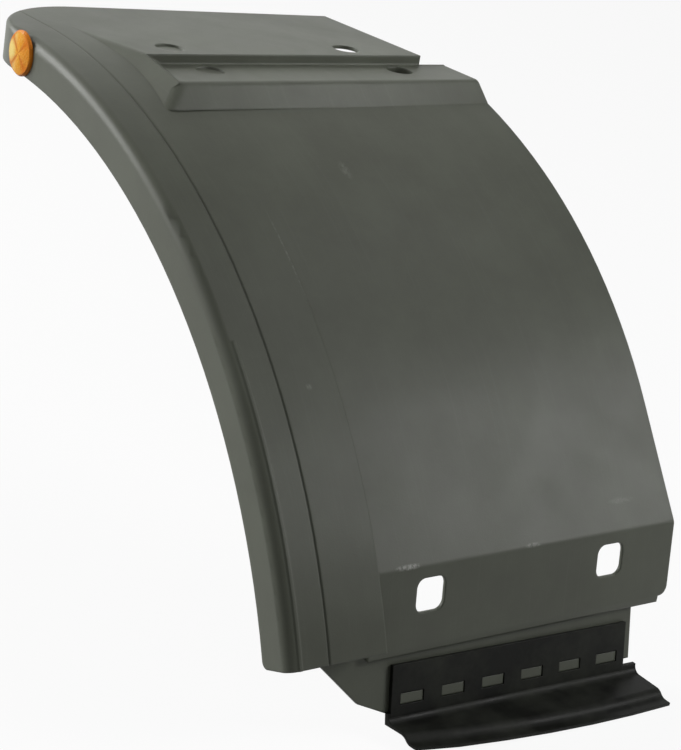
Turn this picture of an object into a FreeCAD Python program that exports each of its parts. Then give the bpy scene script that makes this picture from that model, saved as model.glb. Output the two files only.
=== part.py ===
"""Rear half of a left-hand axle mudguard, with its spray flap and side reflector.

Millimetres, Z up, Y forward, X from the outer side inboard. Every form is drawn about the wheel's axle,
which runs along X, and each finished piece is then moved so that the origin lies on the mounting platform.
"""
import FreeCAD
import Part
import Sketcher
import math
import os
import re

# Driving dimensions: lengths in millimetres, angles in degrees.
SIZES = (
    # Arch: side skirt, strip and crown.
    ("shell_wall", 3.5),
    ("arch_radius", 637),
    ("skirt_height", 38),
    ("strip_end_angle", 22.4),
    ("strip_width", 103),
    ("guard_width", 459),
    ("crown_width", 426),
    ("crown_skew", 1.8),
    ("front_reach", 82),
    ("front_skew", 3.6),
    ("corner_radius", 107),
    ("edge_round", 10),
    ("front_round", 4.5),
    ("heel_round", 7),
    ("groove_place", 42),
    ("groove_width", 2.4),
    ("groove_depth", 1.2),
    ("bead_place", 12),
    ("bead_width", 7),
    ("bead_proud", 0.9),
    ("bead_angle", 48),
    # Centre panel: a flatter arc, a straight run to the crease and the flange below it.
    ("panel_angle", 63),
    ("panel_radius", 575),
    ("bend_angle", 36.5),
    ("kick_length", 117),
    ("flange_lean", 8),
    ("flange_height", 73),
    ("crease_round", 9),
    ("flange_round", 9.5),
    ("window_size", 32),
    ("window_round", 9),
    ("window_spacing", 215),
    ("window_middle", 270.5),
    ("window_drop", 26.5),
    # Mounting platform: two levels with a step between them, sloped at the rear and at the outer side.
    ("platform_reach", 109),
    ("step_height", 10),
    ("step_depth", 63.5),
    ("rear_slope", 40.5),
    ("rear_skew", 0.8),
    ("side_place", 91),
    ("side_slope", 33.4),
    ("side_yaw", 15.1),
    ("fold_round", 18),
    ("rim_round", 12),
    ("gusset_width", 19),
    ("hole_radius", 14),
    ("dimple_depth", 2),
    ("boss_wall", 3),
    ("boss_depth", 22),
    ("upper_middle", 240),
    ("upper_spacing", 214),
    ("upper_back", 83),
    ("lower_middle", 268),
    ("lower_spacing", 232),
    ("lower_back", 130),
    # Tongue below the flange, with the lugs that hold the flap.
    ("ledge_width", 448.5),
    ("ledge_height", 6.5),
    ("tongue_setback", 8),
    ("tongue_lean", 12.4),
    ("tongue_height", 61),
    ("tongue_left", 48),
    ("tongue_right", 421),
    ("tongue_cut", 47),
    ("tongue_tip", 78),
    ("lug_count", 6),
    ("lug_pitch", 47.1),
    ("lug_middle", 269.8),
    ("lug_drop", 51.9),
    ("lug_width", 26),
    ("lug_height", 10),
    ("lug_proud", 3.4),
    # Spray flap: it hangs a little askew, and its lip is bowed and shorter at the outer end.
    ("flap_wall", 4),
    ("flap_tilt", 1.2),
    ("flap_length", 281.6),
    ("flap_height", 32),
    ("lip_drop", 19),
    ("lip_left", 144),
    ("lip_right", 158),
    ("lip_yaw", 11),
    ("outer_flat", 9),
    ("middle_flat", 25.5),
    ("inboard_flat", 24.5),
    ("lip_bend", 8),
    ("lip_wave", 10),
    ("lip_edge", 6),
    ("lip_wall", 3),
    ("fit_gap", 0.3),
    # Side reflector.
    ("lens_radius", 22),
    ("lens_drop", 19.2),
    ("lens_back", 35.3),
    ("lens_depth", 3),
    ("lens_dome", 1),
    ("lens_skin", 2),
    ("cup_depth", 1.5),
    ("seat_proud", 0.5),
    ("seat_depth", 8),
    ("stud_radius", 2.5),
    ("stud_reach", 8),
    ("nut_radius", 4.6),
    ("nut_depth", 4),
)

Z_AXIS = FreeCAD.Vector(0, 0, 1)
NEAR = 1e-3
PAST = "shell_wall * 10"

doc = FreeCAD.newDocument("Mudguard")
sheet = doc.addObject("Spreadsheet::Sheet", "Sizes")
for row, (alias, size) in enumerate(SIZES, 1):
    sheet.set(f"A{row}", alias)
    sheet.set(f"B{row}", str(size))
    sheet.setAlias(f"B{row}", alias)
doc.recompute()


def bound(text):
    """Name the sheet before each alias of an expression."""
    return re.sub(r"[a-z]+_[a-z]+", r"Sizes.\g<0>", text)


def value(text):
    """Work an expression out with the sheet's present sizes."""
    return float(sheet.evalExpression(bound(text)))


def bind(item, **expressions):
    """Tie properties to expressions; two underscores stand for a dot in the property's path."""
    for path, text in expressions.items():
        item.setExpression(path.replace("__", "."), bound(text))


def frame_text(x="0", y="0", z="0", yaw="0", pitch="0", roll="0"):
    """A placement, written as an expression."""
    where = f"create(<<vector>>; {x}; {y}; {z})"
    turn = f"create(<<rotation>>; {yaw}; {pitch}; {roll})"
    return f"create(<<placement>>; {where}; {turn})"


def place(item, *frames):
    """Tie an object's placement to one frame after another."""
    item.setExpression("Placement", bound(" * ".join(frames)))


def origin_feature(body, role):
    """Find one of a body's own origin planes or axes."""
    return next(item for item in body.Origin.OriginFeatures if item.Role == role)


def new_sketch(body, name, role, offset="0", turn="0"):
    """Start a sketch on a body's origin plane, moved along its normal and turned about its upright."""
    sketch = body.newObject("Sketcher::SketchObject", name)
    sketch.AttachmentSupport = [(origin_feature(body, role), "")]
    sketch.MapMode = "FlatFace"
    sketch.setExpression("AttachmentOffset", bound(frame_text(z=offset, pitch=turn)))
    return sketch


def hold(sketch, kind, element, point, text):
    """Hold one coordinate of a sketch point at an expression."""
    index = sketch.addConstraint(Sketcher.Constraint(kind, -1, 1, element, point, value(text)))
    sketch.setExpression(f"Constraints[{index}]", bound(text))


def outline(sketch, corners):
    """Close an outline through its corners.

    A corner is (across, up, held, arc): held names the coordinates that are tied, and arc is None for a
    straight side to the next corner or (across, up, way) for an arc round that centre.
    """
    ends = []
    for (across, up, _, arc), (next_across, next_up, _, _) in zip(corners, corners[1:] + corners[:1]):
        start = FreeCAD.Vector(value(across), value(up))
        end = FreeCAD.Vector(value(next_across), value(next_up))
        if arc is None:
            element = sketch.addGeometry(Part.LineSegment(start, end))
            ends.append((element, 1, 2))
            continue
        centre = FreeCAD.Vector(value(arc[0]), value(arc[1]))
        first, last = (start, end) if arc[2] == "left" else (end, start)
        angles = [math.atan2(point.y - centre.y, point.x - centre.x) for point in (first, last)]
        circle = Part.Circle(centre, Z_AXIS, (start - centre).Length)
        element = sketch.addGeometry(Part.ArcOfCircle(circle, *angles))
        ends.append((element, 1, 2) if arc[2] == "left" else (element, 2, 1))
        hold(sketch, "DistanceX", element, 3, arc[0])
        hold(sketch, "DistanceY", element, 3, arc[1])
    for (before, _, tail), (after, head, _) in zip(ends, ends[1:] + ends[:1]):
        sketch.addConstraint(Sketcher.Constraint("Coincident", before, tail, after, head))
    for (across, up, held, _), (element, head, _) in zip(corners, ends):
        if "x" in held:
            hold(sketch, "DistanceX", element, head, across)
        if "y" in held:
            hold(sketch, "DistanceY", element, head, up)


def polygon(*points):
    """The corners of an outline of straight sides."""
    return [(across, up, "xy", None) for across, up in points]


def box_corners(left, right, low, high):
    """The corners of an upright rectangle."""
    return polygon((left, low), (right, low), (right, high), (left, high))


def extrude(body, sketch, length, backwards=False):
    """Pad a sketch by an expression."""
    pad = body.newObject("PartDesign::Pad", sketch.Name + "_pad")
    pad.Profile = sketch
    pad.Reversed = backwards
    bind(pad, Length=length)
    return pad


def repeat(body, feature, count, pitch):
    """Repeat a feature in a row along the body's X axis."""
    row = body.newObject("PartDesign::LinearPattern", feature.Name + "_row")
    row.Originals = [feature]
    row.Direction = (origin_feature(body, "X_Axis"), [""])
    bind(row, Length=f"({count} - 1) * {pitch}", Occurrences=count)
    body.Tip = row


def section_body(name, left, right, corners):
    """A solid with one outline in the Y-Z plane, from one X to another."""
    body = doc.addObject("PartDesign::Body", name)
    sketch = new_sketch(body, name + "_section", "YZ_Plane", left)
    outline(sketch, corners)
    extrude(body, sketch, f"({right}) - ({left})")
    return body


def combine(kind, name, items):
    """Fuse or intersect several objects."""
    joined = doc.addObject(kind, name)
    joined.Shapes = items
    joined.Refine = True
    return joined


def cut(name, base, tool):
    """Take one object away from another."""
    rest = doc.addObject("Part::Cut", name)
    rest.Base = base
    rest.Tool = tool
    rest.Refine = True
    return rest


def round_edges(name, base, radius_at, test):
    """Round each edge of an object whose inner points all pass a test, to the radius found at its ends."""
    doc.recompute()
    rounded = doc.addObject("Part::Fillet", name)
    rounded.Base = base
    rounded.Edges = [
        (index, radius_at(edge.valueAt(edge.FirstParameter)), radius_at(edge.valueAt(edge.LastParameter)))
        for index, edge in enumerate(base.Shape.Edges, 1)
        if all(test(point) for point in edge.discretize(9)[1:-1])
    ]
    return rounded


SKIRT_RADIUS = "(arch_radius - skirt_height)"
# Points of the centre panel's section, from the top down.
HUB_BACK = "-(arch_radius - panel_radius) * cos(panel_angle)"
HUB_UP = "(arch_radius - panel_radius) * sin(panel_angle)"
CREASE_BACK = f"{HUB_BACK} - panel_radius * cos(bend_angle) - kick_length * sin(bend_angle)"
CREASE_UP = f"{HUB_UP} + panel_radius * sin(bend_angle) - kick_length * cos(bend_angle)"
FLANGE_BACK = f"{CREASE_BACK} - flange_height * sin(flange_lean)"
FLANGE_UP = f"{CREASE_UP} - flange_height * cos(flange_lean)"
# The panel's form goes inward past the flange's foot by the height of the skirt.
PANEL_INNER = f"(sqrt(({FLANGE_BACK})^2 + ({FLANGE_UP})^2) - skirt_height)"
# The walls on either side of the crease turn by this angle in all, about this mean direction.
HALF_TURN = "(bend_angle - flange_lean) / 2"
MEAN_FALL = "(90 - (bend_angle + flange_lean) / 2)"
# Centre of the rounded front corner.
CORNER_FRONT = "front_reach - corner_radius"


def strip_corners(inset, past):
    """Outline of the skirt and strip, set in from the outer face and run past the open ends."""
    outer = f"(arch_radius - {inset})"
    inner = f"({SKIRT_RADIUS} - {past})"
    low = f"(strip_end_angle - {past} / {SKIRT_RADIUS} * 180 / pi)"
    front = f"front_reach + {PAST}"
    return [
        (front, outer, "xy", None),
        ("0", outer, "xy", ("0", "0", "left")),
        (f"-{outer} * cos({low})", f"{outer} * sin({low})", "y", None),
        (f"-{inner} * cos({low})", f"{inner} * sin({low})", "xy", ("0", "0", "right")),
        ("0", inner, "x", None),
        (front, inner, "xy", None),
    ]


def panel_corners(inset, past):
    """Outline of the crown, centre panel and flange, set in and run past as the strip is."""
    outer = f"(arch_radius - {inset})"
    inner = f"({PANEL_INNER} - {past})"
    crown_inner = f"({SKIRT_RADIUS} - {past})"
    flatter = f"(panel_radius - {inset})"
    front = f"front_reach + {PAST}"
    crease_back = f"{CREASE_BACK} + {inset} / cos({HALF_TURN}) * sin({MEAN_FALL})"
    crease_up = f"{CREASE_UP} - {inset} / cos({HALF_TURN}) * cos({MEAN_FALL})"
    foot_back = f"{FLANGE_BACK} + {inset} / cos(flange_lean) - {past} * tan(flange_lean)"
    foot_up = f"({FLANGE_UP} - {past})"
    return [
        (front, outer, "xy", None),
        ("0", outer, "xy", ("0", "0", "left")),
        (f"-{outer} * cos(panel_angle)", f"{outer} * sin(panel_angle)", "y", (HUB_BACK, HUB_UP, "left")),
        (
            f"{HUB_BACK} - {flatter} * cos(bend_angle)",
            f"{HUB_UP} + {flatter} * sin(bend_angle)",
            "y",
            None,
        ),
        (crease_back, crease_up, "xy", None),
        (foot_back, foot_up, "xy", None),
        (f"-sqrt({inner}^2 - {foot_up}^2)", foot_up, "xy", ("0", "0", "right")),
        ("0", inner, "x", None),
        ("0", crown_inner, "xy", None),
        (front, crown_inner, "xy", None),
    ]


def plan_body(name, inset, past):
    """Everything inside the guard's plan outline, with its round front corner and its inboard notch."""
    left = f"({inset})"
    round_radius = f"(corner_radius - {inset})"
    front_left = f"corner_radius + {round_radius} * sin(front_skew)"
    front_up = f"{CORNER_FRONT} + {round_radius} * cos(front_skew)"
    crown_right = f"(crown_width + {past})"
    run = f"{front_up} + ({front_left}) * tan(front_skew) + platform_reach"
    tip = f"(({crown_right} - ({run}) * tan(crown_skew)) / (1 - tan(front_skew) * tan(crown_skew)))"
    right = f"(guard_width + {past})"
    rear = f"-(arch_radius + {PAST})"
    body = doc.addObject("PartDesign::Body", name)
    sketch = new_sketch(body, name + "_outline", "XY_Plane")
    outline(sketch, [
        (left, rear, "xy", None),
        (right, rear, "xy", None),
        (right, "-platform_reach", "xy", None),
        (crown_right, "-platform_reach", "xy", None),
        (tip, f"{front_up} - ({tip} - ({front_left})) * tan(front_skew)", "xy", None),
        (front_left, front_up, "xy", ("corner_radius", CORNER_FRONT, "left")),
        (left, CORNER_FRONT, "y", None),
    ])
    extrude(body, sketch, "arch_radius * 1.1")
    return body


def side_wedge(name, inset):
    """The space above the platform's sloped outer side."""
    body = doc.addObject("PartDesign::Body", name)
    sketch = new_sketch(body, name + "_face", "XY_Plane")
    outline(sketch, box_corners("-guard_width", "guard_width", "-guard_width", "guard_width"))
    extrude(body, sketch, "guard_width")
    place(body, frame_text(
        f"side_place + {inset} * sin(side_slope) * cos(side_yaw)",
        f"-platform_reach + {inset} * sin(side_slope) * sin(side_yaw)",
        f"arch_radius - {inset} * cos(side_slope)",
        yaw="side_yaw",
        pitch="-side_slope",
    ))
    return body


def platform_body(name, inset, past):
    """The stepped platform: two levels, a sloped rear and outer side and a round fold between those."""
    top = f"(arch_radius - {inset})"
    low = f"({top} - step_height)"
    over = f"({top} + step_height)"
    under = f"({low} - step_height * 2 - {past})"
    wall = f"(-platform_reach + {inset})"
    right = f"(guard_width + {past})"

    def rear(across, height):
        """Where the rear slope lies at a place across and a height."""
        skewed = f"({across} - side_place) * tan(rear_skew) + {inset} * tan(rear_slope / 2)"
        return f"(-platform_reach - step_depth + {skewed} - ({low} - {height}) / tan(rear_slope))"

    body = doc.addObject("PartDesign::Body", name)
    sections = []
    for side, across in (("outer", "strip_width / 2"), ("inboard", right)):
        sketch = new_sketch(body, f"{name}_{side}", "YZ_Plane", across)
        outline(sketch, polygon(
            ("0", over),
            (rear(across, over), over),
            (rear(across, under), under),
            ("0", under),
        ))
        sections.append(sketch)
    loft = body.newObject("PartDesign::AdditiveLoft", name + "_loft")
    loft.Profile = sections[0]
    loft.Sections = sections[1:]
    loft.Ruled = True
    wedge = side_wedge(name + "_side", inset)
    sided = cut(name + "_sided", body, wedge)
    levels = section_body(name + "_levels", "0", right, polygon(
        ("0", top), (wall, top), (wall, low), ("-arch_radius", low), ("-arch_radius", under), ("0", under),
    ))
    doc.recompute()
    slope = wedge.Placement.Rotation.multVec(Z_AXIS)
    rear_foot = value(rear("0", "0"))
    skew = value("tan(rear_skew)")
    lean = value("1 / tan(rear_slope)")

    def on_fold(point):
        off_side = slope.dot(point - wedge.Placement.Base)
        off_rear = point.y - rear_foot - point.x * skew - point.z * lean
        return abs(off_side) < NEAR and abs(off_rear) < NEAR

    def on_rim(point):
        inner = point.x < value(right) - NEAR and point.y < -NEAR
        upper = abs(point.z - value(top)) < NEAR and point.y > value(wall) + NEAR
        lower = abs(point.z - value(low)) < NEAR and point.y < value(wall) - NEAR
        return inner and (upper or lower)

    folded = round_edges(name + "_folded", sided, lambda point: value(f"fold_round - {inset}"), on_fold)
    stepped = combine("Part::MultiCommon", name + "_stepped", [folded, levels])
    return round_edges(name + "_rims", stepped, lambda point: value(f"rim_round - {inset}"), on_rim)


def round_rim(name, form, inset, front_radius):
    """Round the edge between the top face and the skirt, from a side radius to a front radius."""
    top = value(f"arch_radius - {inset}")
    left = value(inset)
    centre = FreeCAD.Vector(value("corner_radius"), value(CORNER_FRONT))
    radius = value(f"corner_radius - {inset}")
    facing = FreeCAD.Vector(value("sin(front_skew)"), value("cos(front_skew)"))
    soft = value(f"edge_round - {inset}")
    tight = value(front_radius)

    def on_rim(point):
        height = point.z if point.y > 0 else math.hypot(point.y, point.z)
        flat = FreeCAD.Vector(point.x, point.y) - centre
        beside = abs(point.x - left) if flat.y < 0 else abs(flat.Length - radius)
        ahead = abs(flat.dot(facing) - radius)
        return abs(height - top) < NEAR and min(beside, ahead) < NEAR

    def rim_radius(point):
        round_way = math.atan2(point.y - centre.y, centre.x - point.x)
        share = min(max(round_way / math.atan2(facing.y, -facing.x), 0), 1)
        return soft + (tight - soft) * share

    return round_edges(name, form, rim_radius, on_rim)


def guard_form(name, inset, past, front_radius, webs=()):
    """The guard's whole outer form, or with an inset the space under its wall."""
    right = f"guard_width + {past}"
    strip = section_body(name + "_strip", inset, f"strip_width - {inset}", strip_corners(inset, past))
    panel = section_body(name + "_panel", f"strip_width - {inset}", right, panel_corners(inset, past))
    platform = platform_body(name + "_platform", inset, past)
    whole = combine("Part::MultiFuse", name + "_whole", [strip, panel, platform, *webs])
    trimmed = combine("Part::MultiCommon", name + "_trimmed", [whole, plan_body(name + "_plan", inset, past)])
    return round_rim(name + "_rimmed", trimmed, inset, front_radius)


def hollow_guard():
    """The wall of the guard: its outer form less the space under it, with its outer edges rounded."""
    outer = guard_form("guard", "0", "0", "front_round", [platform_gusset()])
    core = guard_form("core", "shell_wall", PAST, "edge_round - shell_wall")
    wall = cut("guard_wall", outer, core)
    inner_shift = f"shell_wall / cos({HALF_TURN})"
    places = (
        ("outer_crease", "crease_round", CREASE_BACK, CREASE_UP),
        (
            "inner_crease",
            "crease_round - shell_wall",
            f"{CREASE_BACK} + {inner_shift} * sin({MEAN_FALL})",
            f"{CREASE_UP} - {inner_shift} * cos({MEAN_FALL})",
        ),
        (
            "heel",
            "heel_round",
            f"-{SKIRT_RADIUS} * cos(strip_end_angle)",
            f"{SKIRT_RADIUS} * sin(strip_end_angle)",
        ),
    )
    for name, radius, back_text, up_text in places:
        size = value(radius)
        back = value(back_text)
        up = value(up_text)
        wall = round_edges(
            name, wall, lambda point: size, lambda point: math.hypot(point.y - back, point.z - up) < NEAR,
        )
    side = value("guard_width")
    foot = value(FLANGE_UP)
    return round_edges(
        "flange_corner",
        wall,
        lambda point: value("flange_round"),
        lambda point: abs(point.x - side) < NEAR and abs(point.z - foot) < NEAR,
    )


def platform_gusset():
    """The small web in the outer corner of the step, flush with the sloped side and tapering to the rear."""
    body = doc.addObject("PartDesign::Body", "gusset")
    low = "arch_radius - step_height"
    left = "side_place - gusset_width"
    sections = []
    for end, back, width, rise in (
        ("root", "platform_reach - shell_wall", "gusset_width", "step_height"),
        ("tip", "platform_reach + step_depth", "shell_wall / 4", "shell_wall / 8"),
    ):
        sketch = new_sketch(body, "gusset_" + end, "XZ_Plane", back)
        outline(sketch, polygon(
            (left, f"{low} - step_height"),
            (f"side_place + {width}", f"{low} - step_height"),
            (f"side_place + {width}", low),
            ("side_place", f"{low} + {rise}"),
            (left, f"{low} + {rise}"),
        ))
        sections.append(sketch)
    loft = body.newObject("PartDesign::AdditiveLoft", "gusset_loft")
    loft.Profile = sections[0]
    loft.Sections = sections[1:]
    return cut("gusset_sided", body, side_wedge("gusset_side", "0"))


def upright_cylinder(name, across, back, low, radius, height):
    """A cylinder along Z."""
    round_bar = doc.addObject("Part::Cylinder", name)
    bind(round_bar, Radius=radius, Height=height)
    place(round_bar, frame_text(across, f"-({back})", low))
    return round_bar


# The tongue's face below the flange, and on it the middle of the row of lugs, which hangs a little askew.
TONGUE = frame_text("0", f"{FLANGE_BACK} + tongue_setback", FLANGE_UP, roll="-tongue_lean")
LUG_ROW = frame_text("lug_middle", "0", "-lug_drop", pitch="flap_tilt")


def tongue():
    """The set-back tongue below the flange, with its cut corner."""
    body = doc.addObject("PartDesign::Body", "tongue")
    plate = new_sketch(body, "tongue_plate", "XZ_Plane")
    outline(plate, polygon(
        ("tongue_left", "0"),
        ("tongue_left + tongue_cut", "-tongue_cut"),
        ("tongue_left + tongue_tip", "-tongue_height"),
        ("tongue_right", "-tongue_height"),
        ("tongue_right", "0"),
    ))
    extrude(body, plate, "shell_wall", backwards=True)
    place(body, TONGUE)
    return body


def lug_corners(gap):
    """The outline of the first lug of the row, or of the window that goes over it with a gap all round."""
    middle = "-(lug_count - 1) / 2 * lug_pitch"
    return box_corners(
        f"{middle} - lug_width / 2 - {gap}",
        f"{middle} + lug_width / 2 + {gap}",
        f"-lug_height / 2 - {gap}",
        f"lug_height / 2 + {gap}",
    )


def lugs():
    """The row of lugs on the tongue's face, rooted in its wall."""
    body = doc.addObject("PartDesign::Body", "lugs")
    sketch = new_sketch(body, "lug", "XZ_Plane", "-shell_wall / 2")
    outline(sketch, lug_corners("0"))
    repeat(body, extrude(body, sketch, "shell_wall / 2 + lug_proud"), "lug_count", "lug_pitch")
    place(body, TONGUE, LUG_ROW)
    return body


def ledge():
    """The narrow shelf that carries the tongue behind the flange's lower edge."""
    back = f"{FLANGE_BACK} + tongue_setback + shell_wall"
    return section_body("ledge", "strip_width - shell_wall", "ledge_width", polygon(
        (FLANGE_BACK, FLANGE_UP),
        (FLANGE_BACK, f"{FLANGE_UP} - ledge_height"),
        (back, f"{FLANGE_UP} - ledge_height"),
        (back, FLANGE_UP),
    ))


def flange_windows():
    """The two round-cornered square openings of the flange."""
    body = doc.addObject("PartDesign::Body", "flange_windows")
    front = f"-({CREASE_BACK}) - {PAST}"
    sketch = new_sketch(body, "flange_window", "XZ_Plane", front)
    middle = "window_middle - window_spacing / 2"
    height = f"({CREASE_UP} - window_drop)"
    left = f"{middle} - window_size / 2"
    right = f"{middle} + window_size / 2"
    low = f"{height} - window_size / 2"
    high = f"{height} + window_size / 2"
    outline(sketch, [
        (f"{left} + window_round", low, "x", None),
        (f"{right} - window_round", low, "xy", (f"{right} - window_round", f"{low} + window_round", "left")),
        (right, f"{low} + window_round", "y", None),
        (
            right,
            f"{high} - window_round",
            "xy",
            (f"{right} - window_round", f"{high} - window_round", "left"),
        ),
        (f"{right} - window_round", high, "x", None),
        (f"{left} + window_round", high, "xy", (f"{left} + window_round", f"{high} - window_round", "left")),
        (left, f"{high} - window_round", "y", None),
        (left, f"{low} + window_round", "xy", (f"{left} + window_round", f"{low} + window_round", "left")),
    ])
    repeat(body, extrude(body, sketch, f"{PAST} * 2"), "2", "window_spacing")
    return body


def groove():
    """The fine line along the strip: turned about the axle and run straight on over the crown."""
    body = doc.addObject("PartDesign::Body", "groove")
    corners = polygon(
        ("groove_place - groove_width / 2", "arch_radius"),
        ("groove_place", "arch_radius - groove_depth"),
        ("groove_place + groove_width / 2", "arch_radius"),
    )
    turned = new_sketch(body, "groove_turned", "XZ_Plane")
    outline(turned, corners)
    sweep = body.newObject("PartDesign::Revolution", "groove_sweep")
    sweep.Profile = turned
    sweep.ReferenceAxis = (origin_feature(body, "X_Axis"), [""])
    bind(sweep, Angle="90 - strip_end_angle / 2")
    straight = new_sketch(body, "groove_straight", "XZ_Plane")
    outline(straight, corners)
    extrude(body, straight, "front_reach * 2", backwards=True)
    return body


def edge_bead():
    """The shallow bead beside the strip's rounded edge, from about half way down to the strip's end."""
    body = doc.addObject("PartDesign::Body", "edge_bead")
    sketch = new_sketch(body, "bead_section", "XZ_Plane")
    outline(sketch, polygon(
        ("bead_place - bead_width / 2", "arch_radius - bead_proud"),
        ("bead_place + bead_width / 2", "arch_radius - bead_proud"),
        ("bead_place + bead_width / 5", "arch_radius + bead_proud"),
        ("bead_place - bead_width / 5", "arch_radius + bead_proud"),
    ))
    sweep = body.newObject("PartDesign::Revolution", "bead_sweep")
    sweep.Profile = sketch
    sweep.ReferenceAxis = (origin_feature(body, "X_Axis"), [""])
    bind(sweep, Angle="bead_angle - strip_end_angle")
    place(body, frame_text(roll="90 - bead_angle"))
    return body


# The middle of the reflector's seat, as high above the axle as this.
LENS_UP = "arch_radius - lens_drop"


def reflector_seat():
    """The flat round seat on the skirt that carries the reflector."""
    seat = doc.addObject("Part::Cylinder", "reflector_seat")
    bind(seat, Radius="lens_radius - 2 * lens_skin", Height="seat_depth")
    place(seat, frame_text("-seat_proud", "-lens_back", LENS_UP, pitch="90"))
    return seat


def mudguard_shell():
    """The whole moulding."""
    marks = {
        "upper_left": ("upper_middle - upper_spacing / 2", "upper_back", "arch_radius"),
        "upper_right": ("upper_middle + upper_spacing / 2", "upper_back", "arch_radius"),
        "lower_left": ("lower_middle - lower_spacing / 2", "lower_back", "arch_radius - step_height"),
        "lower_right": ("lower_middle + lower_spacing / 2", "lower_back", "arch_radius - step_height"),
    }
    across, back, top = marks["lower_right"]
    boss = upright_cylinder(
        "hole_boss",
        across,
        back,
        f"{top} - boss_depth",
        "hole_radius + boss_wall",
        "boss_depth - shell_wall / 2",
    )
    solid = combine(
        "Part::MultiFuse", "shell_solid",
        [hollow_guard(), edge_bead(), ledge(), tongue(), lugs(), boss, reflector_seat()],
    )
    cutters = [flange_windows(), groove()]
    for name, (across, back, top) in marks.items():
        depth = "dimple_depth" if name.endswith("left") else "boss_depth"
        cutters.append(upright_cylinder(
            name + "_mark", across, back, f"{top} - {depth}", "hole_radius", f"{depth} * 2",
        ))
    stud_hole = doc.addObject("Part::Cylinder", "stud_hole")
    bind(stud_hole, Radius="stud_radius + fit_gap", Height="seat_depth * 3")
    place(stud_hole, frame_text("-seat_depth", "-lens_back", LENS_UP, pitch="90"))
    cutters.append(stud_hole)
    return cut("mudguard_shell", solid, combine("Part::MultiFuse", "shell_cutters", cutters))


def lip_corners(flat):
    """The lip's section, back from the tongue's face: a bend, a flat, a shallow wave and an edge."""
    face = "(lip_bend * tan(tongue_lean) - fit_gap - flap_wall)"
    bend = f"({face} - lip_bend)"
    wave = f"({bend} - {flat})"
    run = "(lip_wave * sin(45))"
    fall = "(lip_wave * (1 - cos(45)))"
    rise = f"({wave} - 2 * {run})"
    edge = f"({rise} - lip_edge)"
    upper_hub = f"lip_wave - 2 * {fall}"
    return [
        (f"{face} + flap_wall", "lip_bend", "xy", None),
        (face, "lip_bend", "xy", (bend, "lip_bend", "right")),
        (bend, "0", "x", None),
        (wave, "0", "xy", (wave, "-lip_wave", "left")),
        (f"{wave} - {run}", f"-{fall}", "x", (rise, upper_hub, "right")),
        (rise, f"-2 * {fall}", "x", None),
        (edge, f"-2 * {fall}", "xy", None),
        (edge, f"-2 * {fall} - lip_wall", "xy", None),
        (rise, f"-2 * {fall} - lip_wall", "xy", (rise, f"{upper_hub} - lip_wall", "left")),
        (f"{wave} - {run}", f"-{fall} - lip_wall", "x", (wave, "-lip_wave - lip_wall", "right")),
        (wave, "-lip_wall", "x", None),
        ("-fit_gap - lip_wall * tan(tongue_lean)", "-lip_wall", "xy", None),
    ]


# Straight spans that follow the bow of the lip.
LIP_SPANS = 6


def flap_lip():
    """The lip: its section carried across in spans, with a slanted outer end.

    The flat of the section follows a parabola through its lengths at the outer end, the middle and inboard.
    """
    body = doc.addObject("PartDesign::Body", "flap_lip")
    sections = []
    for step in range(LIP_SPANS + 1):
        share = step / LIP_SPANS
        outer = (1 - share) * (1 - 2 * share)
        inboard = share * (2 * share - 1)
        flat = f"({outer} * outer_flat + {1 - outer - inboard} * middle_flat + {inboard} * inboard_flat)"
        across = f"-lip_left + {share} * (lip_left + lip_right)"
        sketch = new_sketch(body, f"lip_{step}", "YZ_Plane", across, "0" if step else "lip_yaw")
        outline(sketch, lip_corners(flat))
        sections.append(sketch)
    loft = body.newObject("PartDesign::AdditiveLoft", "lip_loft")
    loft.Profile = sections[0]
    loft.Sections = sections[1:]
    loft.Ruled = True
    place(body, TONGUE, LUG_ROW, frame_text(z="-lip_drop", roll="tongue_lean"))
    return body


def spray_flap():
    """The flap: a strip with a window for each lug, and the lip along its foot."""
    strip = doc.addObject("PartDesign::Body", "flap_strip")
    plate = new_sketch(strip, "flap_plate", "XZ_Plane", "fit_gap")
    outline(plate, box_corners(
        "-flap_length / 2", "flap_length / 2", "-lip_drop + lip_bend / 2", "flap_height",
    ))
    extrude(strip, plate, "flap_wall")
    doc.recompute()
    window = new_sketch(strip, "flap_window", "XZ_Plane")
    outline(window, lug_corners("fit_gap"))
    pocket = strip.newObject("PartDesign::Pocket", "flap_window_cut")
    pocket.Profile = window
    pocket.Type = 1
    pocket.Midplane = True
    repeat(strip, pocket, "lug_count", "lug_pitch")
    place(strip, TONGUE, LUG_ROW)
    return combine("Part::MultiFuse", "spray_flap", [strip, flap_lip()])


def turned_body(name, corners):
    """A solid turned about its own X axis from an outline of (along, radius) corners."""
    body = doc.addObject("PartDesign::Body", name)
    sketch = new_sketch(body, name + "_section", "XY_Plane")
    outline(sketch, corners)
    turn = body.newObject("PartDesign::Revolution", name + "_turn")
    turn.Profile = sketch
    turn.ReferenceAxis = (origin_feature(body, "X_Axis"), [""])
    turn.Angle = 360
    return body


def reflector_lens():
    """A shallow domed cap that closes over the cup, with its rim on the skirt."""
    return turned_body("reflector_lens", polygon(
        ("-cup_depth - fit_gap", "0"),
        ("-lens_depth - lens_dome", "0"),
        ("-lens_depth - lens_dome", "lens_radius / 2"),
        ("-lens_depth", "lens_radius - lens_skin / 2"),
        ("-lens_depth + lens_skin / 2", "lens_radius"),
        ("seat_proud", "lens_radius"),
        ("seat_proud", "lens_radius - lens_skin"),
        ("-cup_depth - fit_gap", "lens_radius - lens_skin"),
    ))


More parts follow.
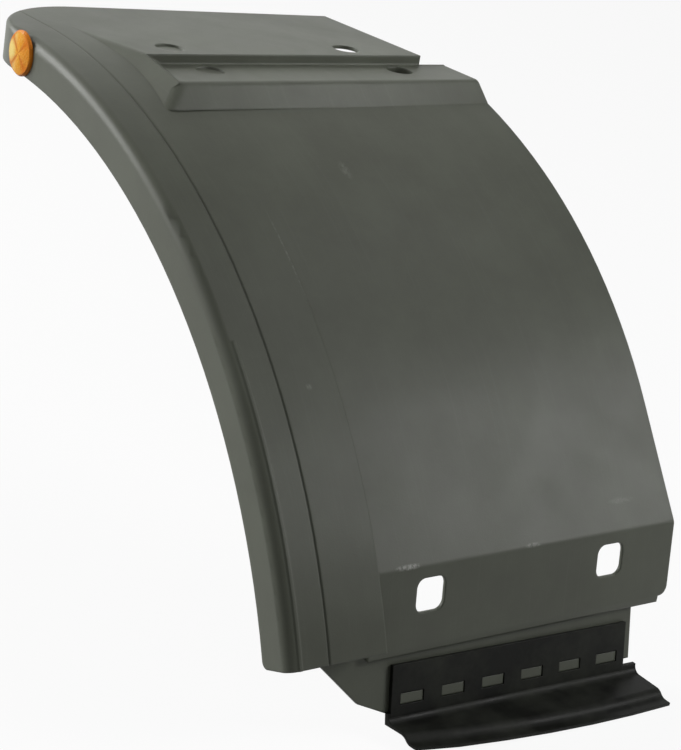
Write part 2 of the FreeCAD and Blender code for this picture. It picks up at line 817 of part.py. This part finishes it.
def reflector_base():
    """The cup behind the lens, with the stud that passes through the skirt."""
    stud_end = "seat_depth + stud_reach"
    return turned_body("reflector_base", polygon(
        ("-cup_depth", "0"),
        ("-cup_depth", "lens_radius - lens_skin - fit_gap"),
        ("0", "lens_radius - lens_skin - fit_gap"),
        ("0", "stud_radius"),
        (stud_end, "stud_radius"),
        (stud_end, "0"),
    ))


def reflector_nut():
    """The hexagon nut on the stud."""
    block = doc.addObject("Part::Prism", "nut_block")
    block.Polygon = 6
    bind(block, Circumradius="nut_radius", Height="nut_depth")
    bore = doc.addObject("Part::Cylinder", "nut_bore")
    bind(bore, Radius="stud_radius + fit_gap / 3", Height="nut_depth")
    return cut("reflector_nut", block, bore)


# The pieces, and where the origin of each lies from the axle.
SEAT = ("-seat_proud", "-lens_back", LENS_UP)
PIECES = (
    (mudguard_shell, ("0", "0", "0"), "0"),
    (spray_flap, ("0", "0", "0"), "0"),
    (reflector_lens, SEAT, "0"),
    (reflector_base, SEAT, "0"),
    (reflector_nut, ("-seat_proud + seat_depth", "-lens_back", LENS_UP), "90"),
)
pieces = []
for make, (across, ahead, up), pitch in PIECES:
    piece = make()
    piece.Label = make.__name__
    place(piece, frame_text(
        f"{across} - upper_middle", f"{ahead} + upper_back", f"{up} - arch_radius", pitch=pitch,
    ))
    pieces.append(piece)
doc.recompute()

failed = [item.Name for item in doc.Objects if {"Invalid", "Error"} & set(item.State)]
if failed:
    raise RuntimeError(f"objects that failed: {failed}")
for piece in pieces:
    if piece.Shape.isNull() or not piece.Shape.isValid():
        raise RuntimeError(f"{piece.Label} has no valid shape")

os.makedirs("parts", exist_ok=True)
for piece in pieces:
    piece.Shape.exportStep(f"parts/{piece.Label}.step")
    print(piece.Label, len(piece.Shape.Solids), round(piece.Shape.Volume), piece.Shape.BoundBox)
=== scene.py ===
import math

import bpy
import numpy as np
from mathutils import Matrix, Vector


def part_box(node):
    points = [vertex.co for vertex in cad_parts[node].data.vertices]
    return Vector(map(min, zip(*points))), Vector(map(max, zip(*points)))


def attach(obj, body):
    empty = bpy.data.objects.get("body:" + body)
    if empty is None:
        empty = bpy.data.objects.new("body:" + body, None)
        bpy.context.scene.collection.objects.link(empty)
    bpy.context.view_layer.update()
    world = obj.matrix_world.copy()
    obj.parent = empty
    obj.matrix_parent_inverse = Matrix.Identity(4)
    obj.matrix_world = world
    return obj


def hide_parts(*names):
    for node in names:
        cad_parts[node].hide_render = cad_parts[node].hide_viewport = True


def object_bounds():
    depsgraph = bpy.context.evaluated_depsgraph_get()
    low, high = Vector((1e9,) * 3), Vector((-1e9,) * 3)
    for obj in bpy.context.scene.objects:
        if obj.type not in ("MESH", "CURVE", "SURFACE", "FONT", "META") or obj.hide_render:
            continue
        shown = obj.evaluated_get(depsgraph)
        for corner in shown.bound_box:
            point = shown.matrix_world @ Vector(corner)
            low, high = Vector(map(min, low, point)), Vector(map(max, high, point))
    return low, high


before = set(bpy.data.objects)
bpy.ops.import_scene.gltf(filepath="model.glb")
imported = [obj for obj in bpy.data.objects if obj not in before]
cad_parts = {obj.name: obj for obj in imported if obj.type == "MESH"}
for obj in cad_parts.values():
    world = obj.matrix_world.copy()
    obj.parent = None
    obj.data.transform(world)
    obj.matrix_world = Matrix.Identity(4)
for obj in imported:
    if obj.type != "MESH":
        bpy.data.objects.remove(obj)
cad_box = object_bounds()

# Moulded shell.
# One piece of dark warm-grey polypropylene, injection moulded, that carries every other piece.
# Its spark-eroded grain gives a satin surface, which scuffs pale where it is dragged on its crease.


def linear(code):
    """Turn an sRGB hex colour into the linear colour that shaders take."""
    channels = [int(code[place:place + 2], 16) / 255 for place in (1, 3, 5)]
    return tuple(c / 12.92 if c <= 0.04045 else ((c + 0.055) / 1.055) ** 2.4 for c in channels) + (1.0,)


def add(tree, kind, settings=None, **links):
    """Add one node and give back its outputs by name.

    Settings are its properties, and links set its inputs or join them to outputs of other nodes.
    """
    node = tree.nodes.new(kind)
    for name, setting in (settings or {}).items():
        setattr(node, name, setting)
    inputs = {socket.identifier.replace(" ", "_"): socket for socket in node.inputs}
    for name, source in links.items():
        if isinstance(source, bpy.types.NodeSocket):
            tree.links.new(source, inputs[name])
        else:
            inputs[name].default_value = source
    return {socket.identifier.replace(" ", "_"): socket for socket in node.outputs}


def start(name):
    """Start a material and give back it, its node tree and its Principled shader."""
    material = bpy.data.materials.new(name)
    material.use_nodes = True
    return material, material.node_tree, material.node_tree.nodes["Principled BSDF"]


def dress(item, material):
    """Give a piece one material."""
    item.data.materials.clear()
    item.data.materials.append(material)


def per_metre(millimetres):
    """The scale of a pattern that repeats at this many millimetres."""
    return 1000 / millimetres


def patch(tree, place, middle, reach):
    """A soft spot: 1 round its middle, falling to 0 on the ellipsoid with this reach along X, Y and Z."""
    inside = add(
        tree, "ShaderNodeMapping", {"vector_type": "TEXTURE"},
        Vector=place, Location=middle, Scale=reach,
    )
    far = add(tree, "ShaderNodeVectorMath", {"operation": "LENGTH"}, Vector=inside["Vector"])
    fade = add(tree, "ShaderNodeMapRange", Value=far["Value"], From_Min=1.0, From_Max=0.35)
    return fade["Result"]


# Satin polypropylene: no gloss to speak of, a cloudy colour from the flow of the melt, a grain of about
# 0.2 mm that is drawn coarser so that it shows, and slow waves that soften what the surface reflects.
# The sizes of its patterns are in millimetres, and its round edges and the heights of its bumps in metres.
CLOUDS = 85
STREAK_GAP = 3
STREAK_LENGTH = 160
SCUFF_BREAKS = 4
SMEARS = 60
WAVES = 150
SHELL_GRAIN = 1.6
POLYPROPYLENE_IOR = 1.49
SHELL_EDGE = 0.0026
WAVE_HEIGHT = 0.004
SHELL_GRAIN_HEIGHT = 0.0004
shell_plastic, tree, shader = start("satin_grey_polypropylene")
place = add(tree, "ShaderNodeTexCoord")["Object"]
clouds = add(tree, "ShaderNodeTexNoise", Vector=place, Scale=per_metre(CLOUDS), Detail=4.0, Roughness=0.6)
cloudy = add(tree, "ShaderNodeMapRange", Value=clouds["Fac"], From_Min=0.3, From_Max=0.7)
colour = add(
    tree, "ShaderNodeMix", {"data_type": "RGBA"}, Factor_Float=cloudy["Result"],
    A_Color=linear("#585b50"), B_Color=linear("#62665a"),
)
# Rubbing along the arch leaves faint pale lines, close together across it and long in the other directions.
streaked = add(
    tree, "ShaderNodeMapping", Vector=place,
    Scale=(per_metre(STREAK_GAP), per_metre(STREAK_LENGTH), per_metre(STREAK_LENGTH)),
)
streaks = add(tree, "ShaderNodeTexNoise", Vector=streaked["Vector"], Scale=1.0, Detail=3.0)
rubbed = add(
    tree, "ShaderNodeMapRange", Value=streaks["Fac"], From_Min=0.55, From_Max=0.85, To_Max=0.12,
)
colour = add(
    tree, "ShaderNodeMix", {"data_type": "RGBA"}, Factor_Float=rubbed["Result"],
    A_Color=colour["Result_Color"], B_Color=linear("#797b74"),
)
# Scuffs, as middle and reach in metres and how pale they are: two on the crease, one line on the panel's
# outer side and three small marks.
SCUFFS = (
    ((-0.104, -0.4760, -0.3320), (0.016, 0.0035, 0.0030), 0.8),
    ((0.040, -0.4760, -0.3320), (0.011, 0.0030, 0.0025), 0.5),
    ((-0.1375, -0.282, -0.115), (0.0016, 0.055, 0.055), 0.16),
    ((-0.0236, -0.197, -0.065), (0.006, 0.014, 0.014), 0.14),
    ((-0.167, -0.377, -0.198), (0.004, 0.004, 0.004), 0.2),
    ((0.158, -0.460, -0.3105), (0.018, 0.004, 0.004), 0.15),
)
breaks = add(
    tree, "ShaderNodeTexNoise", Vector=place, Scale=per_metre(SCUFF_BREAKS), Detail=3.0, Roughness=0.7,
)
broken = add(tree, "ShaderNodeMapRange", Value=breaks["Fac"], From_Min=0.38, From_Max=0.62)
scuffed = None
for middle, reach, depth in SCUFFS:
    spot = add(
        tree, "ShaderNodeMath", {"operation": "MULTIPLY"},
        Value=patch(tree, place, middle, reach), Value_001=depth,
    )["Value"]
    if scuffed:
        spot = add(tree, "ShaderNodeMath", {"operation": "MAXIMUM"}, Value=scuffed, Value_001=spot)["Value"]
    scuffed = spot
scuffed = add(
    tree, "ShaderNodeMath", {"operation": "MULTIPLY"}, Value=scuffed, Value_001=broken["Result"],
)["Value"]
colour = add(
    tree, "ShaderNodeMix", {"data_type": "RGBA"}, Factor_Float=scuffed,
    A_Color=colour["Result_Color"], B_Color=linear("#c9cac4"),
)
tree.links.new(colour["Result_Color"], shader.inputs["Base Color"])
smears = add(tree, "ShaderNodeTexNoise", Vector=place, Scale=per_metre(SMEARS), Detail=5.0, Roughness=0.65)
satin = add(
    tree, "ShaderNodeMapRange", Value=smears["Fac"], From_Min=0.3, From_Max=0.7, To_Min=0.42, To_Max=0.48,
)
tree.links.new(satin["Result"], shader.inputs["Roughness"])
shader.inputs["IOR"].default_value = POLYPROPYLENE_IOR
shader.inputs["Specular IOR Level"].default_value = 0.36
soft_edges = add(tree, "ShaderNodeBevel", {"samples": 8}, Radius=SHELL_EDGE)
waves = add(tree, "ShaderNodeTexNoise", Vector=place, Scale=per_metre(WAVES), Detail=1.0)
warped = add(
    tree, "ShaderNodeBump", Strength=0.12, Distance=WAVE_HEIGHT,
    Height=waves["Fac"], Normal=soft_edges["Normal"],
)
grain = add(tree, "ShaderNodeTexNoise", Vector=place, Scale=per_metre(SHELL_GRAIN), Detail=2.0)
grained = add(
    tree, "ShaderNodeBump", Strength=0.18, Distance=SHELL_GRAIN_HEIGHT,
    Height=grain["Fac"], Normal=warped["Normal"],
)
tree.links.new(grained["Normal"], shader.inputs["Normal"])
dress(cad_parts["mudguard_shell"], shell_plastic)

# Spray flap.
# A strip of black rubber-like plastic, pressed over the six lugs of the tongue through its windows.
# Its lip flares outward to throw spray down, and stays limp enough to take a kerb.

# Flap rubber: nearly black, with a dull sheen, pale smudges that are partly dust from hands and partly
# painted highlight, and a moulding grain that is drawn coarser than it is, so that it shows. Patterns in
# millimetres, edges and heights in metres.
SMUDGES = 40
FLAP_GRAIN = 1.2
RUBBER_IOR = 1.52
FLAP_EDGE = 0.001
FLAP_GRAIN_HEIGHT = 0.0003
flap_rubber, tree, shader = start("black_flap_rubber")
place = add(tree, "ShaderNodeTexCoord")["Object"]
smudges = add(tree, "ShaderNodeTexNoise", Vector=place, Scale=per_metre(SMUDGES), Detail=5.0, Roughness=0.6)
# Pale smudges: dust, and painted highlight that lightens the lip.
dust_and_highlight = add(tree, "ShaderNodeMapRange", Value=smudges["Fac"], From_Min=0.4, From_Max=0.75, To_Max=0.7)
colour = add(
    tree, "ShaderNodeMix", {"data_type": "RGBA"}, Factor_Float=dust_and_highlight["Result"],
    A_Color=linear("#181916"), B_Color=linear("#3f413b"),
)
tree.links.new(colour["Result_Color"], shader.inputs["Base Color"])
sheen = add(
    tree, "ShaderNodeMapRange", Value=smudges["Fac"], From_Min=0.3, From_Max=0.7, To_Min=0.3, To_Max=0.5,
)
tree.links.new(sheen["Result"], shader.inputs["Roughness"])
shader.inputs["IOR"].default_value = RUBBER_IOR
shader.inputs["Specular IOR Level"].default_value = 0.1
grain = add(tree, "ShaderNodeTexNoise", Vector=place, Scale=per_metre(FLAP_GRAIN), Detail=2.0)
soft_edges = add(tree, "ShaderNodeBevel", {"samples": 6}, Radius=FLAP_EDGE)
grained = add(
    tree, "ShaderNodeBump", Strength=0.15, Distance=FLAP_GRAIN_HEIGHT,
    Height=grain["Fac"], Normal=soft_edges["Normal"],
)
tree.links.new(grained["Normal"], shader.inputs["Normal"])
dress(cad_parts["spray_flap"], flap_rubber)

# Reflector's cup and stud.
# A cup of black plastic, moulded in one piece with its threaded stud, which is pushed through the skirt.
# The lens covers it, so only the stud's end shows, behind the skirt. Its mottle is in millimetres.
BASE_MOTTLE = 6
BASE_GRAIN_HEIGHT = 0.0002
base_plastic, tree, shader = start("black_moulded_plastic")
place = add(tree, "ShaderNodeTexCoord")["Object"]
mottle = add(tree, "ShaderNodeTexNoise", Vector=place, Scale=per_metre(BASE_MOTTLE), Detail=3.0)
colour = add(
    tree, "ShaderNodeMix", {"data_type": "RGBA"}, Factor_Float=mottle["Fac"],
    A_Color=linear("#1b1b1b"), B_Color=linear("#2a2a29"),
)
tree.links.new(colour["Result_Color"], shader.inputs["Base Color"])
shader.inputs["Roughness"].default_value = 0.5
grained = add(tree, "ShaderNodeBump", Strength=0.2, Distance=BASE_GRAIN_HEIGHT, Height=mottle["Fac"])
tree.links.new(grained["Normal"], shader.inputs["Normal"])
dress(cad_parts["reflector_base"], base_plastic)

# Reflector's nut.
# A pressed steel nut, run down the stud behind the skirt to hold the reflector.
# Its zinc plating has a fine spangle, part bright and part dull, here in millimetres.
SPANGLE = 1.5
nut_steel, tree, shader = start("zinc_plated_steel")
place = add(tree, "ShaderNodeTexCoord")["Object"]
spangle = add(tree, "ShaderNodeTexVoronoi", Vector=place, Scale=per_metre(SPANGLE))
bright = add(
    tree, "ShaderNodeMapRange", Value=spangle["Distance"], From_Max=0.8, To_Min=0.25, To_Max=0.42,
)
tree.links.new(bright["Result"], shader.inputs["Roughness"])
colour = add(
    tree, "ShaderNodeMix", {"data_type": "RGBA"}, Factor_Float=spangle["Distance"],
    A_Color=linear("#b9bcbe"), B_Color=linear("#9a9c9d"),
)
tree.links.new(colour["Result_Color"], shader.inputs["Base Color"])
shader.inputs["Metallic"].default_value = 1.0
dress(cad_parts["reflector_nut"], nut_steel)

# Reflector's lens.
# A round lens of amber acrylic, moulded with four petals of small prisms, that clips over the cup.
# Its foot stands on the skirt, and its face is a low dome inside a plain sloping rim. Metres and degrees.
lens_low, lens_high = (np.array(corner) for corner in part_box("reflector_lens"))
lens_middle = (lens_low + lens_high) / 2
lens_middle[0] = lens_high[0]
LENS_RADIUS = 0.022
FACE_RADIUS = 0.0203
FACE_HEIGHT = 0.0043
FACE_DOME = 0.0009
PETAL_HEIGHT = 0.0002
RIM_HEIGHT = 0.0016
HOLLOW_RADIUS = 0.020
HOLLOW_HEIGHT = 0.0023
LENS_RINGS = 40
LENS_SIDES = 128
SHARP_EDGE = 40


def lens_surface(rings, sides):
    """The corners and faces of the lens, a skin turned about the X axis through the middle of its foot.

    On the face, the height over the skirt falls from the middle as the square of the distance, and four
    petals rise on it: the square of the cosine of twice the angle, times a half wave of the distance. The
    sloping rim, the foot and the hollow for the cup follow as rings of one height each. One corner closes
    the skin at each end of the axis.
    """
    angle = np.arange(sides) * 2 * np.pi / sides
    out = np.linspace(0, 1, rings + 1)[1:, None]
    petals = PETAL_HEIGHT * np.sin(np.pi * out) * np.cos(2 * angle) ** 2
    face = FACE_HEIGHT - FACE_DOME * out ** 2 + petals
    behind = np.array([
        (LENS_RADIUS, RIM_HEIGHT),
        (LENS_RADIUS, 0.0),
        (HOLLOW_RADIUS, 0.0),
        (HOLLOW_RADIUS, HOLLOW_HEIGHT),
    ])
    height = np.concatenate((face, np.repeat(behind[:, 1:], sides, axis=1)))
    radius = np.concatenate((FACE_RADIUS * out, behind[:, :1]))
    corners = np.stack((-height, radius * np.cos(angle), radius * np.sin(angle)), axis=-1).reshape(-1, 3)
    poles = np.array([(-FACE_HEIGHT, 0.0, 0.0), (-HOLLOW_HEIGHT, 0.0, 0.0)])
    corners = np.concatenate((corners, poles)) + lens_middle
    here = np.arange(sides)
    after = np.roll(here, -1)
    start_of = np.arange(len(radius) - 1)[:, None] * sides
    next_of = start_of + sides
    walls = np.stack((start_of + here, start_of + after, next_of + after, next_of + here), axis=-1)
    last = (len(radius) - 1) * sides
    front = np.stack((np.full(sides, len(corners) - 2), here, after), axis=-1)[:, ::-1]
    back = np.stack((np.full(sides, len(corners) - 1), last + here, last + after), axis=-1)
    return corners, walls.reshape(-1, 4), np.concatenate((front, back))


corners, walls, fans = lens_surface(LENS_RINGS, LENS_SIDES)
lens_mesh = bpy.data.meshes.new("reflector_lens_petals")
lens_mesh.from_pydata(corners.tolist(), [], walls.tolist() + fans.tolist())
lens_mesh.polygons.foreach_set("use_smooth", np.ones(len(lens_mesh.polygons), dtype=bool))
lens_mesh.set_sharp_from_angle(angle=math.radians(SHARP_EDGE))
lens = bpy.data.objects.new("reflector_lens_petals", lens_mesh)
bpy.context.collection.objects.link(lens)
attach(lens, "root")
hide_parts("reflector_lens")

# Amber acrylic: yellow-orange, with each petal bright, the lines between them deep, and the rim, which has
# no prisms behind it, a plain orange that is painted lighter against the shade on its side. The forward
# side of the lens is painted paler, a painted light, and the rear side deeper, a painted shade, and the
# prism cells carry painted glints. The prisms are small cells, in millimetres, drawn as a bump. The petals
# follow from the angle round the lens, and the rim starts at a share of the radius, further out at the end
# of each petal. The bumps' heights are in metres.
PRISM = 2
ACRYLIC_IOR = 1.49
FACE_LEAN = 0.0007
PRISM_DEPTH = 0.0008
PRISM_GLINT = 0.5
RIM_LOBE = 0.12
lens_amber, tree, shader = start("amber_acrylic")
place = add(tree, "ShaderNodeTexCoord")["Object"]
unit = add(
    tree, "ShaderNodeMapping", {"vector_type": "TEXTURE"}, Vector=place,
    Location=tuple(lens_middle), Scale=(LENS_RADIUS, LENS_RADIUS, LENS_RADIUS),
)
flat = add(
    tree, "ShaderNodeVectorMath", {"operation": "MULTIPLY"},
    Vector=unit["Vector"], Vector_001=(0.0, 1.0, 1.0),
)
share = add(tree, "ShaderNodeVectorMath", {"operation": "LENGTH"}, Vector=flat["Vector"])["Value"]
across = add(tree, "ShaderNodeSeparateXYZ", Vector=flat["Vector"])
turn = add(tree, "ShaderNodeMath", {"operation": "ARCTAN2"}, Value=across["Z"], Value_001=across["Y"])
twice = add(tree, "ShaderNodeMath", {"operation": "MULTIPLY"}, Value=turn["Value"], Value_001=2.0)
swing = add(tree, "ShaderNodeMath", {"operation": "COSINE"}, Value=twice["Value"])
petal = add(tree, "ShaderNodeMath", {"operation": "ABSOLUTE"}, Value=swing["Value"])["Value"]
cells = add(tree, "ShaderNodeTexVoronoi", Vector=place, Scale=per_metre(PRISM))["Distance"]
between = add(tree, "ShaderNodeMapRange", Value=petal, From_Min=0.0, From_Max=0.75)
colour = add(
    tree, "ShaderNodeMix", {"data_type": "RGBA"}, Factor_Float=between["Result"],
    A_Color=linear("#d87408"), B_Color=linear("#ffa61a"),
)
# Painted light and shade: the forward petal is painted paler, as if lit, and the rear side deeper, as if
# shaded.
painted_shade_rear = add(tree, "ShaderNodeMapRange", Value=across["Y"], From_Min=-0.05, From_Max=-0.5, To_Max=0.8)
colour = add(
    tree, "ShaderNodeMix", {"data_type": "RGBA"}, Factor_Float=painted_shade_rear["Result"],
    A_Color=colour["Result_Color"], B_Color=linear("#f08408"),
)
painted_light_front = add(tree, "ShaderNodeMapRange", Value=across["Y"], From_Min=0.15, From_Max=0.45, To_Max=1.0)
painted_light_share = add(
    tree, "ShaderNodeMath", {"operation": "MULTIPLY"},
    Value=painted_light_front["Result"], Value_001=between["Result"],
)
colour = add(
    tree, "ShaderNodeMix", {"data_type": "RGBA"}, Factor_Float=painted_light_share["Value"],
    A_Color=colour["Result_Color"], B_Color=linear("#ffe68a"),
)
# Painted glints: the prism cells on the petals are coloured pale yellow, a painted highlight.
painted_glint_cells = add(tree, "ShaderNodeMath", {"operation": "MULTIPLY"}, Value=cells, Value_001=between["Result"])
glint = add(
    tree, "ShaderNodeMath", {"operation": "MULTIPLY"}, Value=painted_glint_cells["Value"], Value_001=PRISM_GLINT,
)
colour = add(
    tree, "ShaderNodeMix", {"data_type": "RGBA"}, Factor_Float=glint["Value"],
    A_Color=colour["Result_Color"], B_Color=linear("#ffd060"),
)
lobed = add(
    tree, "ShaderNodeMath", {"operation": "MULTIPLY_ADD"},
    Value=petal, Value_001=-RIM_LOBE, Value_002=share,
)
rim = add(tree, "ShaderNodeMapRange", Value=lobed["Value"], From_Min=0.74, From_Max=0.86)
# The rim's plain orange is painted lighter than the shade on its side wall would leave it, a painted light.
colour = add(
    tree, "ShaderNodeMix", {"data_type": "RGBA"}, Factor_Float=rim["Result"],
    A_Color=colour["Result_Color"], B_Color=linear("#f08c28"),
)
tree.links.new(colour["Result_Color"], shader.inputs["Base Color"])
shader.inputs["Roughness"].default_value = 0.25
shader.inputs["IOR"].default_value = ACRYLIC_IOR
shader.inputs["Specular IOR Level"].default_value = 0.08
squared = add(tree, "ShaderNodeMath", {"operation": "MULTIPLY"}, Value=share, Value_001=share)
dome = add(tree, "ShaderNodeMath", {"operation": "SUBTRACT"}, Value=1.0, Value_001=squared["Value"])
leaned = add(tree, "ShaderNodeBump", Strength=1.0, Distance=FACE_LEAN, Height=dome["Value"])
pricked = add(
    tree, "ShaderNodeBump", Strength=0.35, Distance=PRISM_DEPTH,
    Height=cells, Normal=leaned["Normal"],
)
tree.links.new(pricked["Normal"], shader.inputs["Normal"])
dress(lens, lens_amber)

# Studio.
# A white floor that keeps a faint shadow, five soft lamps and a dim white room round them.
# The floor's reach is in metres, and its glow is the share of plain white in what is seen of it.
FLOOR_REACH = 60.0
FLOOR_GLOW = 0.92
ROOM_LIGHT = 0.05
WHITE = (1.0, 1.0, 1.0, 1.0)
lowest = cad_box[0][2]
floor_mesh = bpy.data.meshes.new("floor")
floor_mesh.from_pydata(
    [
        (-FLOOR_REACH, -FLOOR_REACH, lowest),
        (FLOOR_REACH, -FLOOR_REACH, lowest),
        (FLOOR_REACH, FLOOR_REACH, lowest),
        (-FLOOR_REACH, FLOOR_REACH, lowest),
    ],
    [],
    [(0, 1, 2, 3)],
)
floor = bpy.data.objects.new("floor", floor_mesh)
bpy.context.collection.objects.link(floor)


def seen_white(tree):
    """A factor that is 1 where the camera, a reflection or a clear piece looks, and 0 for other light."""
    path = add(tree, "ShaderNodeLightPath")
    seen = add(
        tree, "ShaderNodeMath", {"operation": "MAXIMUM"},
        Value=path["Is_Camera_Ray"], Value_001=path["Is_Glossy_Ray"],
    )
    return add(
        tree, "ShaderNodeMath", {"operation": "MAXIMUM"},
        Value=seen["Value"], Value_001=path["Is_Transmission_Ray"],
    )["Value"]


floor_white, tree, shader = start("white_studio_floor")
shader.inputs["Base Color"].default_value = linear("#808080")
shader.inputs["Roughness"].default_value = 0.9
shader.inputs["Specular IOR Level"].default_value = 0.0
glow = add(tree, "ShaderNodeEmission", Color=WHITE, Strength=1.0)
lit = add(tree, "ShaderNodeBsdfDiffuse", Color=linear("#f4f4f4"))
pale = add(
    tree, "ShaderNodeMixShader", Fac=FLOOR_GLOW,
    Shader=lit["BSDF"], Shader_001=glow["Emission"],
)
surface = add(
    tree, "ShaderNodeMixShader", Fac=seen_white(tree),
    Shader=shader.outputs["BSDF"], Shader_001=pale["Shader"],
)
tree.links.new(surface["Shader"], tree.nodes["Material Output"].inputs["Surface"])
dress(floor, floor_white)

world = bpy.data.worlds.new("studio")
world.use_nodes = True
tree = world.node_tree
room = tree.nodes["Background"]
room.inputs["Color"].default_value = WHITE
room.inputs["Strength"].default_value = ROOM_LIGHT
# What is seen of the room is white on the far side, along +Y, and falls to grey round to the near side.
way = add(tree, "ShaderNodeSeparateXYZ", Vector=add(tree, "ShaderNodeTexCoord")["Generated"])
ahead = add(
    tree, "ShaderNodeMapRange", {"interpolation_type": "SMOOTHSTEP"},
    Value=way["Y"], From_Min=0.3, From_Max=0.85, To_Min=0.35, To_Max=1.0,
)
backdrop = add(tree, "ShaderNodeBackground", Color=WHITE, Strength=ahead["Result"])
around = add(
    tree, "ShaderNodeMixShader", Fac=seen_white(tree),
    Shader=room.outputs["Background"], Shader_001=backdrop["Background"],
)
tree.links.new(around["Shader"], tree.nodes["World Output"].inputs["Surface"])
bpy.context.scene.world = world


def lamp(name, watts, size, spread, position, target):
    """Place a square soft lamp that faces a point: its -Z axis is turned along the line to that point."""
    data = bpy.data.lights.new(name, "AREA")
    data.energy = watts
    data.size = size
    data.spread = math.radians(spread)
    item = bpy.data.objects.new(name, data)
    east, north, up = np.array(target) - np.array(position)
    item.location = position
    item.rotation_euler = (math.atan2(math.hypot(east, north), -up), 0.0, math.atan2(-east, north))
    bpy.context.collection.objects.link(item)


# Each lamp's watts, its side in metres, how wide it shines in degrees, where it is and what it faces. The
# far one lights the platform and the skirt, the glow lies on the lower panel, the wide one lights the panel
# and the strip, the left one the skirt's rounded edge, and the narrow top one the platform's rear slope.
lamp("far_softbox", 175.0, 2.6, 180.0, (-2.4, 2.9, 1.5), (0.0, 0.0, -0.1))
lamp("glow_softbox", 12.5, 0.7, 180.0, (1.3, -1.45, 0.65), (0.1, -0.42, -0.25))
lamp("wide_softbox", 6.5, 1.4, 180.0, (1.1, -0.9, 2.05), (-0.1, -0.3, -0.2))
lamp("left_softbox", 4.5, 1.4, 180.0, (-1.9, -0.5, 1.25), (-0.23, -0.35, -0.18))
lamp("top_softbox", 0.08, 0.3, 24.0, (0.70, -0.26, 0.93), (0.03, 0.0, 0.0))

# Camera.
# On the rear left, above the platform, where it was for the photograph. Its place is in metres, its turn in
# degrees, and its lens and sensor in millimetres.
CAMERA_PLACE = (-1.20278, -1.68732, 0.43643)
CAMERA_TURN = (69.4066, -9.0799, -35.8038)
CAMERA_LENS = 110.44
CAMERA_SENSOR = 36.0
camera_data = bpy.data.cameras.new("camera")
camera_data.sensor_width = CAMERA_SENSOR
camera_data.sensor_fit = "HORIZONTAL"
camera_data.lens = CAMERA_LENS
camera = bpy.data.objects.new("camera", camera_data)
camera.location = CAMERA_PLACE
camera.rotation_euler = [math.radians(angle) for angle in CAMERA_TURN]
bpy.context.collection.objects.link(camera)
bpy.context.scene.camera = camera
bpy.context.scene.view_settings.view_transform = "Standard"
